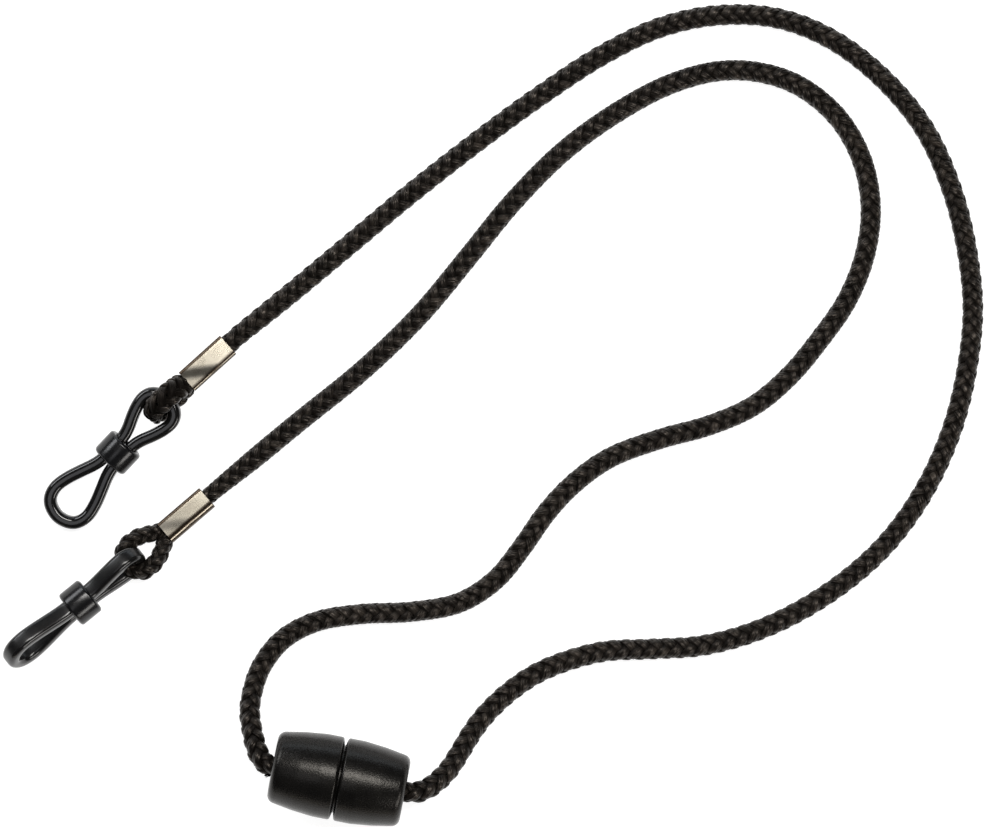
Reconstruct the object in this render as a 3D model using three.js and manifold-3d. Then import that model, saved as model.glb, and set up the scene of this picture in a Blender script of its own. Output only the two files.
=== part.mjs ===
// Eyeglass retainer strap: two braided cords that meet at a breakaway barrel clasp. Each cord ends in
// an eye closed by a folded metal ferrule, and an endless rubber temple loop with a slide bead hangs
// in each eye. It is laid out flat on a surface. Millimetres, +Z up, floor at z = 0.

import * as THREE from "three";
import Module from "manifold-3d";
import { mergeVertices } from "three/addons/utils/BufferGeometryUtils.js";

const wasm = await Module();
wasm.setup();

// ---------- driving dimensions ----------

const TOUCH_GAP = 0.3; // between pieces that meet face to face

// breakaway clasp, measured outwards from the parting plane between its halves
const CLASP_AXIS_HEIGHT = 7.0; // it lies on its widest ring
const CLASP_YAW = -11; // degrees
const CLASP_HALF_LENGTH = 11.2;
const CLASP_RIM_RADIUS = 7.0;
const CLASP_END_RADIUS = 5.9;
const PARTING_GAP = 0.16;
const NOSE_RADIUS = 4.5;
const NOSE_LENGTH = 5.0;
const SOCKET_RADIUS = 4.8;
const SOCKET_DEPTH = 5.4;
const KNOT_CHAMBER_RADIUS = 3.2;
const KNOT_CHAMBER_END = 9.3;
const CORD_HOLE_RADIUS = 1.85;

// braided cord
const CORD_RADIUS = 1.5;
const CORD_SIDES = 8;
const RUN_STEPS = 40;
const KNOT_RADIUS = 2.7;
const EYE_CORD_RADIUS = 1.1;
const EYE_STEPS = 26;

// folded ferrule
const FERRULE_LENGTH = 9.2;
const FERRULE_WIDTH = 4.1;
const FERRULE_WALL = 0.4;
const FERRULE_CORNER = 0.45;
const FERRULE_SEAM = 0.3;
const BUNDLE_WIDTH = 3.0; // the two cord legs squeezed together inside the ferrule

// rubber temple loop, measured along its axis from the middle of the bead
const BAND_THICKNESS = 2.0;
const BAND_WIDTH = 2.9;
const BAND_EDGE = 0.5;
// half the distance between the two strands' centrelines, from the spectacle end to the cord end
const LOOP_HALF_GAPS = [
  [-14.1, 1.9],
  [-13.1, 2.9],
  [-11.3, 3.38],
  [-9.0, 3.0],
  [-6.4, 2.15],
  [-4.2, 1.45],
  [-2.6, 1.12],
  [0, 1.08],
  [2.6, 1.12],
  [4.2, 1.45],
  [6.2, 2.1],
  [8.2, 2.65],
  [10.0, 2.8],
  [11.4, 2.05],
];
const LOOP_SPECTACLE_TIP = -14.7;
const LOOP_CORD_TIP = 12.2;

// slide bead
const BEAD_LENGTH = 4.4;
const BEAD_RADIUS = 3.2;
const BEAD_EDGE = 0.4;
const BEAD_SLOT_WIDTH = 4.6;
const BEAD_SLOT_HEIGHT = 3.4;

// moves the laid-out strap so that the origin is on the floor under the middle of its fittings
const ORIGIN_SHIFT = [21.97, -32.95, 0];

// ---------- materials ----------

const material = (color, roughness, metalness) => new THREE.MeshStandardMaterial({ color, roughness, metalness });
const claspPlastic = () => material(0x1b1b1c, 0.55, 0);
const braid = () => material(0x1a1613, 0.85, 0);
const rubber = () => material(0x16161a, 0.3, 0);
const beadPlastic = () => material(0x18181b, 0.4, 0);
const sheetMetal = () => material(0xd8ccbb, 0.35, 1);

// ---------- helpers ----------

const radians = (degrees) => (degrees * Math.PI) / 180;

function toSolid(geometry) {
  const plain = geometry.clone();
  plain.deleteAttribute("normal");
  plain.deleteAttribute("uv");
  const merged = mergeVertices(plain, 1e-4);
  return new wasm.Manifold(
    new wasm.Mesh({
      numProp: 3,
      vertProperties: Float32Array.from(merged.attributes.position.array),
      triVerts: Uint32Array.from(merged.index.array),
    }),
  );
}

function toGeometry(solid) {
  const mesh = solid.getMesh();
  const geometry = new THREE.BufferGeometry();
  geometry.setAttribute("position", new THREE.BufferAttribute(mesh.vertProperties, 3));
  geometry.setIndex(new THREE.BufferAttribute(mesh.triVerts, 1));
  geometry.computeVertexNormals();
  return geometry;
}

// a round cord along a curve
function cordAlong(curve, radius, steps) {
  const section = new THREE.Shape();
  for (let i = 0; i < CORD_SIDES; i++) {
    const angle = (2 * Math.PI * (i + 0.5)) / CORD_SIDES;
    const point = [radius * Math.cos(angle), radius * Math.sin(angle)];
    if (i === 0) section.moveTo(...point);
    else section.lineTo(...point);
  }
  section.closePath();
  return new THREE.ExtrudeGeometry(section, { steps, extrudePath: curve, bevelEnabled: false });
}

// one stretch of a longer curve
class CurvePart extends THREE.Curve {
  constructor(whole, start, end) {
    super();
    this.whole = whole;
    this.start = start;
    this.end = end;
  }

  getPoint(t, target) {
    return this.whole.getPoint(this.start + (this.end - this.start) * t, target);
  }
}

// a turned solid about the x axis: the profile is [x, radius] pairs
function turnedAboutX(profile, segments) {
  const points = profile.map(([x, radius]) => new THREE.Vector2(radius, x));
  const geometry = new THREE.LatheGeometry(points, segments);
  geometry.rotateZ(-Math.PI / 2);
  return geometry;
}

function roundedBoxShape(width, height, corner) {
  const shape = new THREE.Shape();
  const w = width / 2;
  const h = height / 2;
  shape.moveTo(-w + corner, -h);
  shape.lineTo(w - corner, -h);
  shape.absarc(w - corner, -h + corner, corner, -Math.PI / 2, 0, false);
  shape.lineTo(w, h - corner);
  shape.absarc(w - corner, h - corner, corner, 0, Math.PI / 2, false);
  shape.lineTo(-w + corner, h);
  shape.absarc(-w + corner, h - corner, corner, Math.PI / 2, Math.PI, false);
  shape.lineTo(-w, -h + corner);
  shape.absarc(-w + corner, -h + corner, corner, Math.PI, Math.PI * 1.5, false);
  return shape;
}

// extrudes a shape drawn in (y, z) along +x from x = start
function extrudedAlongX(shape, start, length, curveSegments) {
  const geometry = new THREE.ExtrudeGeometry(shape, { depth: length, bevelEnabled: false, curveSegments });
  geometry.rotateX(Math.PI / 2);
  geometry.rotateZ(Math.PI / 2);
  geometry.translate(start, 0, 0);
  return geometry;
}

const strap = new THREE.Group();
strap.position.set(...ORIGIN_SHIFT);

function addPiece(parent, name, geometry, look) {
  const mesh = new THREE.Mesh(geometry, look);
  mesh.name = name;
  parent.add(mesh);
  return mesh;
}

// a turned group: yaw about z, then pitch (nose up) about y, then roll about x, in degrees
function frameAt(position, yaw, pitch = 0, roll = 0) {
  const group = new THREE.Group();
  group.position.set(...position);
  group.rotation.set(radians(roll), radians(-pitch), radians(yaw), "ZYX");
  strap.add(group);
  return group;
}

// ---------- breakaway clasp ----------

// the barrel's outer side, from its rim at the parting plane to its flat end
const BARREL_SIDE = [
  [PARTING_GAP / 2, CLASP_RIM_RADIUS - 0.95],
  [PARTING_GAP / 2 + 0.18, CLASP_RIM_RADIUS - 0.45],
  [PARTING_GAP / 2 + 0.5, CLASP_RIM_RADIUS - 0.1],
  [PARTING_GAP / 2 + 0.95, CLASP_RIM_RADIUS],
  [4.0, CLASP_RIM_RADIUS - 0.15],
  [7.5, CLASP_RIM_RADIUS - 0.55],
  [9.9, CLASP_END_RADIUS + 0.05],
  [10.8, CLASP_END_RADIUS - 0.35],
  [CLASP_HALF_LENGTH, CLASP_END_RADIUS - 1.1],
];
const CHAMBER = [
  [CLASP_HALF_LENGTH, CORD_HOLE_RADIUS],
  [KNOT_CHAMBER_END, CORD_HOLE_RADIUS],
  [KNOT_CHAMBER_END, KNOT_CHAMBER_RADIUS],
];

function claspSocket() {
  const profile = [
    ...BARREL_SIDE,
    ...CHAMBER,
    [SOCKET_DEPTH, KNOT_CHAMBER_RADIUS],
    [SOCKET_DEPTH, SOCKET_RADIUS],
    [PARTING_GAP / 2, SOCKET_RADIUS],
    BARREL_SIDE[0],
  ];
  return turnedAboutX(profile, 40);
}

function claspPlug() {
  const profile = [
    ...BARREL_SIDE,
    ...CHAMBER,
    [-NOSE_LENGTH, KNOT_CHAMBER_RADIUS],
    [-NOSE_LENGTH, NOSE_RADIUS - 0.5],
    [-NOSE_LENGTH + 0.5, NOSE_RADIUS],
    [PARTING_GAP / 2, NOSE_RADIUS],
    BARREL_SIDE[0],
  ];
  return turnedAboutX(profile, 40);
}

// the cord's stopper knot in its chamber, and the stretch of cord in the end hole, flush with the end
function cordKnot() {
  const bulb = KNOT_CHAMBER_END - TOUCH_GAP;
  const profile = [
    [bulb - 3.4, 0],
    [bulb - 3.1, KNOT_RADIUS - 0.6],
    [bulb - 2.2, KNOT_RADIUS],
    [bulb - 1.2, KNOT_RADIUS],
    [bulb - 0.3, KNOT_RADIUS - 0.5],
    [bulb, CORD_RADIUS],
    [CLASP_HALF_LENGTH, CORD_RADIUS],
    [CLASP_HALF_LENGTH, 0],
  ];
  return turnedAboutX(profile, 16);
}

const plugHalf = frameAt([0, 0, CLASP_AXIS_HEIGHT], CLASP_YAW);
addPiece(plugHalf, "clasp_plug", claspPlug(), claspPlastic());
addPiece(plugHalf, "cord_knot_plug_side", cordKnot(), braid());

const socketHalf = frameAt([0, 0, CLASP_AXIS_HEIGHT], CLASP_YAW + 180);
addPiece(socketHalf, "clasp_socket", claspSocket(), claspPlastic());
addPiece(socketHalf, "cord_knot_socket_side", cordKnot(), braid());

// ---------- cord runs ----------

// each run leaves its end of the clasp, drops to the floor and lies loose as far as its ferrule
const PLUG_SIDE_ROUTE = [
  [11.35, -2.2, 7.0],
  [12.2, -2.35, 7.0],
  [14.4, -1.8, 6.6],
  [16.3, -0.5, 6.0],
  [18.1, 1.3, 5.0],
  [19.9, 4.0, 3.9],
  [21.9, 7.3, 2.8],
  [24.2, 10.4, 2.0],
  [28.5, 14.5, 1.6],
  [34, 18, 1.6],
  [43.5, 21, 1.6],
  [52, 21.5, 1.6],
  [60, 22, 1.6],
  [68, 24, 1.6],
  [76, 27.5, 1.6],
  [84.5, 33, 1.6],
  [91.5, 39.5, 1.6],
  [97.5, 48, 1.6],
  [102, 58, 1.6],
  [104.5, 68, 1.6],
  [105.5, 78, 1.6],
  [104.5, 88, 1.6],
  [102, 98, 1.6],
  [97.5, 108, 1.6],
  [90.5, 116.5, 1.6],
  [82, 123, 1.6],
  [73, 126.5, 1.6],
  [63, 127, 1.6],
  [53.5, 125, 1.6],
  [44, 120.5, 1.6],
  [34, 114, 1.6],
  [23, 106, 1.6],
  [11.5, 97, 1.6],
  [2.5, 89.5, 1.6],
  [-6.5, 82, 1.9],
  [-12.5, 77.1, 3.0],
  [-16.9, 73.55, 3.75],
  [-18.2, 72.37, 3.8],
];
const SOCKET_SIDE_ROUTE = [
  [-11.35, 2.2, 7.0],
  [-12.0, 2.35, 7.0],
  [-12.9, 3.2, 6.9],
  [-13.8, 5.3, 6.5],
  [-14.5, 8.2, 5.4],
  [-14.9, 11.2, 4.0],
  [-14.4, 14.6, 2.8],
  [-13, 18.5, 1.9],
  [-9.5, 23, 1.6],
  [-4, 26, 1.6],
  [3.5, 27.3, 1.6],
  [12, 27.7, 1.6],
  [20, 29.2, 1.6],
  [26, 33, 1.6],
  [30.5, 38.5, 1.6],
  [34.5, 44.2, 1.6],
  [39, 49, 1.6],
  [45, 53.3, 1.6],
  [53.5, 56.5, 1.6],
  [61.5, 58.7, 1.6],
  [69, 62, 1.6],
  [75, 67, 1.6],
  [80, 73, 1.6],
  [84.5, 79.5, 1.6],
  [87.5, 87, 1.6],
  [88.5, 95, 1.6],
  [87, 103, 1.6],
  [83, 110, 1.6],
  [76.7, 115.2, 1.6],
  [70, 117.5, 1.6],
  [63, 117.7, 1.6],
  [55, 115.5, 1.6],
  [46.5, 111, 1.6],
  [37.5, 104.5, 1.6],
  [29, 96, 1.6],
  [21.5, 86.8, 1.6],
  [13.5, 77.2, 1.6],
  [4, 68, 1.6],
  [-6.5, 59.5, 1.6],
  [-15, 52.5, 1.65],
  [-20.4, 48.1, 2.05],
  [-21.72, 46.98, 2.05],
];

function cordRun(route) {
  const points = route.map((point) => new THREE.Vector3(...point));
  return cordAlong(new THREE.CatmullRomCurve3(points, false, "centripetal"), CORD_RADIUS, RUN_STEPS);
}

addPiece(strap, "cord_run_plug_side", cordRun(PLUG_SIDE_ROUTE), braid());
addPiece(strap, "cord_run_socket_side", cordRun(SOCKET_SIDE_ROUTE), braid());

// ---------- ferrules and cord eyes ----------

// a square tube folded from sheet, with its seam along one side; x runs from the eye's mouth to the cord's
function ferrule() {
  const half = FERRULE_WIDTH / 2;
  const inner = half - FERRULE_WALL;
  const corner = FERRULE_CORNER;
  const innerCorner = 0.15;
  const seam = FERRULE_SEAM / 2;
  const section = new THREE.Shape();
  section.moveTo(-half, seam);
  section.lineTo(-half, half - corner);
  section.absarc(-half + corner, half - corner, corner, Math.PI, Math.PI / 2, true);
  section.lineTo(half - corner, half);
  section.absarc(half - corner, half - corner, corner, Math.PI / 2, 0, true);
  section.lineTo(half, -half + corner);
  section.absarc(half - corner, -half + corner, corner, 0, -Math.PI / 2, true);
  section.lineTo(-half + corner, -half);
  section.absarc(-half + corner, -half + corner, corner, -Math.PI / 2, -Math.PI, true);
  section.lineTo(-half, -seam);
  section.lineTo(-inner, -seam);
  section.lineTo(-inner, -inner + innerCorner);
  section.lineTo(-inner + innerCorner, -inner);
  section.lineTo(inner - innerCorner, -inner);
  section.lineTo(inner, -inner + innerCorner);
  section.lineTo(inner, inner - innerCorner);
  section.lineTo(inner - innerCorner, inner);
  section.lineTo(-inner + innerCorner, inner);
  section.lineTo(-inner, inner - innerCorner);
  section.lineTo(-inner, seam);
  section.closePath();
  return extrudedAlongX(section, 0, FERRULE_LENGTH, 4);
}

// the eye's centreline: [distance from the ferrule's mouth, half-width of the eye, lift above the ferrule's axis]
const LYING_EYE = [
  [-1.0, 0.42, 0],
  [0.5, 0.48, 0],
  [1.8, 1.4, 0.5],
  [3.3, 2.45, 1.15],
  [5.2, 2.9, 1.65],
  [6.9, 2.9, 1.95],
  [8.1, 1.7, 2.05],
];
const LYING_EYE_TIP = [8.5, 0, 2.05];
const STANDING_EYE = [
  [-1.0, 0.42, 0],
  [0.5, 0.48, 0],
  [1.4, 1.6, 0.5],
  [2.7, 2.95, 1.0],
  [4.3, 3.25, 1.1],
  [5.9, 3.0, 1.0],
  [7.5, 1.9, 0.8],
];
const STANDING_EYE_TIP = [8.15, 0, 0.6];

// the eye of the cord and its two legs, squeezed into one bundle that fills the ferrule
function cordEye(side, tip, roll) {
  const across = Math.cos(radians(roll));
  const upright = Math.sin(radians(roll));
  const point = (a, b, lift) => new THREE.Vector3(-a, b * across, b * upright + lift);
  const path = new THREE.CatmullRomCurve3(
    [
      ...side.map(([a, b, lift]) => point(a, b, lift)),
      point(...tip),
      ...side.toReversed().map(([a, b, lift]) => point(a, -b, lift)),
    ],
    false,
    "centripetal",
  );
  // each leg is swept up to the tip on its own, because the two run into one another at the ferrule
  const [nearLeg, farLeg] = [
    [0, 0.5],
    [0.5, 1],
  ].map(([start, end]) => {
    return toSolid(cordAlong(new CurvePart(path, start, end), EYE_CORD_RADIUS, EYE_STEPS / 2));
  });
  const bundleStart = 0.4;
  const bundle = extrudedAlongX(
    roundedBoxShape(BUNDLE_WIDTH, BUNDLE_WIDTH, 0.6),
    bundleStart,
    FERRULE_LENGTH - bundleStart,
    3,
  );
  return toGeometry(toSolid(bundle).add(nearLeg).add(farLeg));
}

const plugFerrule = frameAt([-25.3, 65.98, 3.8], 42);
addPiece(plugFerrule, "ferrule_plug_side", ferrule(), sheetMetal());
addPiece(plugFerrule, "cord_eye_plug_side", cordEye(STANDING_EYE, STANDING_EYE_TIP, 75), braid());

const socketFerrule = frameAt([-28.97, 40.76, FERRULE_WIDTH / 2], 40.6);
addPiece(socketFerrule, "ferrule_socket_side", ferrule(), sheetMetal());
addPiece(socketFerrule, "cord_eye_socket_side", cordEye(LYING_EYE, LYING_EYE_TIP, 0), braid());

// ---------- temple loops and slide beads ----------

// an endless band: its outline, pinched together at the bead, extruded across the band's width
function templeLoop() {
  const centreline = new THREE.CatmullRomCurve3(
    [
      new THREE.Vector3(LOOP_SPECTACLE_TIP, 0, 0),
      ...LOOP_HALF_GAPS.map(([x, y]) => new THREE.Vector3(x, y, 0)),
      new THREE.Vector3(LOOP_CORD_TIP, 0, 0),
      ...LOOP_HALF_GAPS.toReversed().map(([x, y]) => new THREE.Vector3(x, -y, 0)),
    ],
    true,
    "centripetal",
  );
  const outside = [];
  const inside = [];
  const count = 72;
  const offset = BAND_THICKNESS / 2;
  for (let i = 0; i < count; i++) {
    const centre = centreline.getPointAt(i / count);
    const along = centreline.getTangentAt(i / count);
    outside.push(new THREE.Vector2(centre.x - along.y * offset, centre.y + along.x * offset));
    inside.push(new THREE.Vector2(centre.x + along.y * offset, centre.y - along.x * offset));
  }
  const outline = new THREE.Shape(outside.toReversed()); // anticlockwise, its hole clockwise
  outline.holes.push(new THREE.Path(inside));
  const geometry = new THREE.ExtrudeGeometry(outline, {
    depth: BAND_WIDTH - 2 * BAND_EDGE,
    bevelThickness: BAND_EDGE,
    bevelSize: BAND_EDGE,
    bevelOffset: -BAND_EDGE,
    bevelSegments: 1,
  });
  geometry.translate(0, 0, -BAND_WIDTH / 2 + BAND_EDGE);
  return geometry;
}

function slideBead() {
  const end = BEAD_LENGTH / 2;
  const profile = [
    [-end, 0],
    [-end, BEAD_RADIUS - BEAD_EDGE],
    [-end + BEAD_EDGE * 0.3, BEAD_RADIUS - BEAD_EDGE * 0.3],
    [-end + BEAD_EDGE, BEAD_RADIUS],
    [end - BEAD_EDGE, BEAD_RADIUS],
    [end - BEAD_EDGE * 0.3, BEAD_RADIUS - BEAD_EDGE * 0.3],
    [end, BEAD_RADIUS - BEAD_EDGE],
    [end, 0],
  ];
  const slotShape = roundedBoxShape(BEAD_SLOT_WIDTH, BEAD_SLOT_HEIGHT, 0.9);
  const slot = toSolid(extrudedAlongX(slotShape, -BEAD_LENGTH, 2 * BEAD_LENGTH, 4));
  return toGeometry(toSolid(turnedAboutX(profile, 32)).subtract(slot));
}

const plugLoop = frameAt([-36.85, 54.23, 3.4], 46.6, 7);
addPiece(plugLoop, "temple_loop_plug_side", templeLoop(), rubber());
addPiece(plugLoop, "slide_bead_plug_side", slideBead(), beadPlastic());

const socketLoop = frameAt([-43.05, 29.25, 4.35], 39.2, -1.4, 71);
addPiece(socketLoop, "temple_loop_socket_side", templeLoop(), rubber());
addPiece(socketLoop, "slide_bead_socket_side", slideBead(), beadPlastic());

export default strap;
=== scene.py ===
"""Eyeglass retainer strap: the looks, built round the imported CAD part.

Lengths below are in millimetres, in the strap's own layout: the middle of the clasp is at x = y = 0
and the floor at z = 0. row_point() turns them into the row frame's metres.
"""

import math

import bpy
import numpy as np
from mathutils import Matrix, Vector


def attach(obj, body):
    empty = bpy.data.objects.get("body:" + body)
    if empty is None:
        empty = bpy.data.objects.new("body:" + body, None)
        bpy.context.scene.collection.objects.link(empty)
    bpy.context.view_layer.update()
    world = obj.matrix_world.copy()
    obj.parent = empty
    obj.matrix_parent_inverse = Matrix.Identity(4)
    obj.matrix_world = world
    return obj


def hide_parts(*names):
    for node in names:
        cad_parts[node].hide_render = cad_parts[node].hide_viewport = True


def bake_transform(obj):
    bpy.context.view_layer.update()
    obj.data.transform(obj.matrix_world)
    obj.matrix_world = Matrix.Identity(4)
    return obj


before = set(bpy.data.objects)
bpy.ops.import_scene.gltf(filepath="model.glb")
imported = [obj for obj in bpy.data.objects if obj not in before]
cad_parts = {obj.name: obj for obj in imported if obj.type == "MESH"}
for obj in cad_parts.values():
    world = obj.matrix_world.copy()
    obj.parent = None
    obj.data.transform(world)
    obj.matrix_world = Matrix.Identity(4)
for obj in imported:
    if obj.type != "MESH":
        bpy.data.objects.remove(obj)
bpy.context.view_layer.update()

# ---------- sizes, as in the CAD part ----------

ORIGIN_SHIFT = (21.97, -32.95, 0.0)  # from the layout's origin to the row frame's
MILLIMETRE = 0.001

CLASP_HEIGHT = 7.0
CLASP_YAW = -11
CLASP_HALF_LENGTH = 11.2
CLASP_RIM_RADIUS = 7.0
CLASP_END_RADIUS = 5.9
PARTING_GAP = 0.02
GROOVE_FLOOR = 0.08  # half-widths of the groove round the parting line
GROOVE_MOUTH = 0.4
GROOVE_DEPTH = 1.3
NOSE_RADIUS = 4.5
NOSE_LENGTH = 5.0
SOCKET_RADIUS = 4.8
SOCKET_DEPTH = 5.4
CHAMBER_RADIUS = 3.2
CHAMBER_END = 9.3
CORD_HOLE_RADIUS = 1.85

CORD_RADIUS = 1.92  # to the yarns' crests
BRAID_LAY = 8.9  # length of one full turn of a yarn
EYE_CORD_RADIUS = 1.55
EYE_LAY = 7.8
KNOT_CORD_RADIUS = 1.0
KNOT_LAY = 6.5

FERRULE_LENGTH = 9.2
FERRULE_HALF = 2.05
FERRULE_WALL = 0.4
FERRULE_SEAM = 0.16  # half the gap between the sheet's two lips

BAND_THICKNESS = 2.1
BAND_WIDTH = 2.9
BAND_CORNER = 0.8
BEAD_LENGTH = 4.4
BEAD_RADIUS = 3.2
BEAD_SWELL = 0.08  # how much further its middle stands out
BEAD_SLOT_HALVES = (2.2, 1.6)
BEAD_SLOT_CORNER = 1.2

# where each side's fittings lie: position, then yaw, pitch (nose up) and roll in degrees
PLUG_FERRULE = ((-25.3, 65.98, 3.8), 42, 0, 0)
SOCKET_FERRULE = ((-28.97, 40.76, 2.05), 40.6, 0, 0)
PLUG_LOOP = ((-36.85, 54.23, 3.4), 46.6, 7, 0)
SOCKET_LOOP = ((-43.05, 29.25, 4.35), 39.2, -1.4, 71)

# the cord runs, from the clasp's end faces to the ferrules' mouths
PLUG_SIDE_ROUTE = [
    (11.35, -2.2, 7.0),
    (12.2, -2.35, 7.0),
    (14.4, -1.8, 6.6),
    (16.3, -0.5, 6.0),
    (18.1, 1.3, 5.0),
    (19.9, 4.0, 3.9),
    (21.9, 7.3, 2.8),
    (24.2, 10.4, 2.0),
    (28.5, 14.5, 1.6),
    (34, 18, 1.6),
    (43.5, 21, 1.6),
    (52, 21.5, 1.6),
    (60, 22, 1.6),
    (68, 24, 1.6),
    (76, 27.5, 1.6),
    (84.5, 33, 1.6),
    (91.5, 39.5, 1.6),
    (97.5, 48, 1.6),
    (102, 58, 1.6),
    (104.5, 68, 1.6),
    (105.5, 78, 1.6),
    (104.5, 88, 1.6),
    (102, 98, 1.6),
    (97.5, 108, 1.6),
    (90.5, 116.5, 1.6),
    (82, 123, 1.6),
    (73, 126.5, 1.6),
    (63, 127, 1.6),
    (53.5, 125, 1.6),
    (44, 120.5, 1.6),
    (34, 114, 1.6),
    (23, 106, 1.6),
    (11.5, 97, 1.6),
    (2.5, 89.5, 1.6),
    (-6.5, 82, 1.9),
    (-12.5, 77.1, 3.0),
    (-16.9, 73.55, 3.75),
    (-18.2, 72.37, 3.8),
]
SOCKET_SIDE_ROUTE = [
    (-11.35, 2.2, 7.0),
    (-12.0, 2.35, 7.0),
    (-12.9, 3.2, 6.9),
    (-13.8, 5.3, 6.5),
    (-14.5, 8.2, 5.4),
    (-14.9, 11.2, 4.0),
    (-14.4, 14.6, 2.8),
    (-13, 18.5, 1.9),
    (-9.5, 23, 1.6),
    (-4, 26, 1.6),
    (3.5, 27.3, 1.6),
    (12, 27.7, 1.6),
    (20, 29.2, 1.6),
    (26, 33, 1.6),
    (30.5, 38.5, 1.6),
    (34.5, 44.2, 1.6),
    (39, 49, 1.6),
    (45, 53.3, 1.6),
    (53.5, 56.5, 1.6),
    (61.5, 58.7, 1.6),
    (69, 62, 1.6),
    (75, 67, 1.6),
    (80, 73, 1.6),
    (84.5, 79.5, 1.6),
    (87.5, 87, 1.6),
    (88.5, 95, 1.6),
    (87, 103, 1.6),
    (83, 110, 1.6),
    (76.7, 115.2, 1.6),
    (70, 117.5, 1.6),
    (63, 117.7, 1.6),
    (55, 115.5, 1.6),
    (46.5, 111, 1.6),
    (37.5, 104.5, 1.6),
    (29, 96, 1.6),
    (21.5, 86.8, 1.6),
    (13.5, 77.2, 1.6),
    (4, 68, 1.6),
    (-6.5, 59.5, 1.6),
    (-15, 52.5, 1.65),
    (-20.4, 48.1, 2.05),
    (-21.72, 46.98, 2.05),
]

# half of each cord eye: distance from the ferrule's mouth, half-width, lift above the ferrule's axis
LYING_EYE = [
    (0.5, 0.9, 0),
    (1.8, 1.5, 0.5),
    (3.3, 2.3, 1.15),
    (5.2, 2.68, 1.65),
    (6.9, 2.45, 1.95),
    (8.1, 1.5, 2.05),
]
LYING_EYE_TIP = (8.5, 0, 2.05)
STANDING_EYE = [
    (0.5, 0.9, 0),
    (1.4, 1.7, 0.5),
    (2.7, 2.95, 1.0),
    (4.3, 3.25, 1.1),
    (5.9, 3.0, 1.0),
    (7.5, 1.9, 0.8),
]
STANDING_EYE_TIP = (8.15, 0, 0.6)
STANDING_EYE_ROLL = 83

# temple loop: where along it, and half the gap between its strands' centrelines,
# from the spectacle end to the cord end
LOOP_HALF_GAPS = [
    (-14.1, 1.9),
    (-13.1, 2.9),
    (-11.3, 3.38),
    (-9.0, 3.0),
    (-6.4, 2.15),
    (-4.2, 1.45),
    (-2.6, 1.12),
    (0, 1.08),
    (2.6, 1.12),
    (4.2, 1.45),
    (6.2, 2.1),
    (8.2, 2.65),
    (10.0, 2.8),
    (11.4, 2.05),
]
LOOP_SPECTACLE_TIP = -14.7
LOOP_CORD_TIP = 12.2

# ---------- places and paths ----------


def row_point(x, y, z):
    return Vector([(value + shift) * MILLIMETRE for value, shift in zip((x, y, z), ORIGIN_SHIFT)])


def row_points(points):
    return (np.asarray(points, float) + ORIGIN_SHIFT) * MILLIMETRE


def turned_frame(position, yaw, pitch=0, roll=0):
    """The matrix from a fitting's own millimetres to the layout's: yaw, then pitch, then roll."""
    turn = Matrix.Rotation(math.radians(yaw), 4, "Z")
    turn @= Matrix.Rotation(math.radians(-pitch), 4, "Y")
    turn @= Matrix.Rotation(math.radians(roll), 4, "X")
    return Matrix.Translation(position) @ turn


CLASP_FRAME = turned_frame((0, 0, CLASP_HEIGHT), CLASP_YAW)
CLASP_END = {"plug_side": 1, "socket_side": -1}  # which way along the clasp each side lies


def moved(points, matrix):
    """The points, taken out of the matrix's frame into the layout."""
    points = np.asarray(points, float)
    turn = np.array(matrix)[:3, :3]
    return points @ turn.T + np.array(matrix)[:3, 3]


def unit(vectors):
    return vectors / np.linalg.norm(vectors, axis=-1, keepdims=True)


def ease(share):
    """0 up to a share of 0, 1 from a share of 1 on, and a smooth step between them."""
    share = min(max(share, 0.0), 1.0)
    return share * share * (3 - 2 * share)


def curve_through(points, steps=24):
    """A centripetal Catmull-Rom curve through the points."""
    points = [np.asarray(point, float) for point in points]
    padded = [2 * points[0] - points[1], *points, 2 * points[-1] - points[-2]]
    t = np.linspace(0, 1, steps, endpoint=False)[:, None]
    made = []
    for i in range(len(points) - 1):
        a, b, c, d = padded[i : i + 4]
        ab, bc, cd = (math.sqrt(np.linalg.norm(q - p)) for p, q in ((a, b), (b, c), (c, d)))
        leave = ((b - a) / ab - (c - a) / (ab + bc) + (c - b) / bc) * bc
        arrive = ((c - b) / bc - (d - b) / (bc + cd) + (d - c) / cd) * bc
        cube = 2 * b - 2 * c + leave + arrive
        square = -3 * b + 3 * c - 2 * leave - arrive
        made.append(cube * t**3 + square * t**2 + leave * t + b)
    made.append(points[-1][None])
    return np.vstack(made)


def arc_lengths(path):
    return np.concatenate([[0], np.cumsum(np.linalg.norm(np.diff(path, axis=0), axis=1))])


def evenly(path, spacing):
    """The same path with its points an even distance apart."""
    lengths = arc_lengths(path)
    wanted = np.linspace(0, lengths[-1], max(8, round(lengths[-1] / spacing) + 1))
    return np.stack([np.interp(wanted, lengths, path[:, axis]) for axis in range(3)], axis=1)


def softened(path, reach):
    """The path with each point averaged over `reach` neighbours on both sides; its ends stay."""
    before = 2 * path[0] - path[reach:0:-1]
    after = 2 * path[-1] - path[-2 : -reach - 2 : -1]
    padded = np.vstack([before, path, after])
    weights = np.hanning(2 * reach + 3)[1:-1]
    weights /= weights.sum()
    return np.stack([np.convolve(padded[:, axis], weights, "valid") for axis in range(3)], axis=1)


def path_frames(path, first_normal=None):
    """Unit tangents, and normals and binormals that turn as little as possible along the path."""
    tangents = unit(np.gradient(path, axis=0))
    normal = np.cross(tangents[0], (0, 0, 1)) if first_normal is None else np.array(first_normal)
    normals = np.empty_like(path)
    for i, tangent in enumerate(tangents):
        normal = normal - tangent * (normal @ tangent)
        normal /= np.linalg.norm(normal)
        normals[i] = normal
    return tangents, normals, np.cross(tangents, normals)


# ---------- meshes ----------


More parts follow.
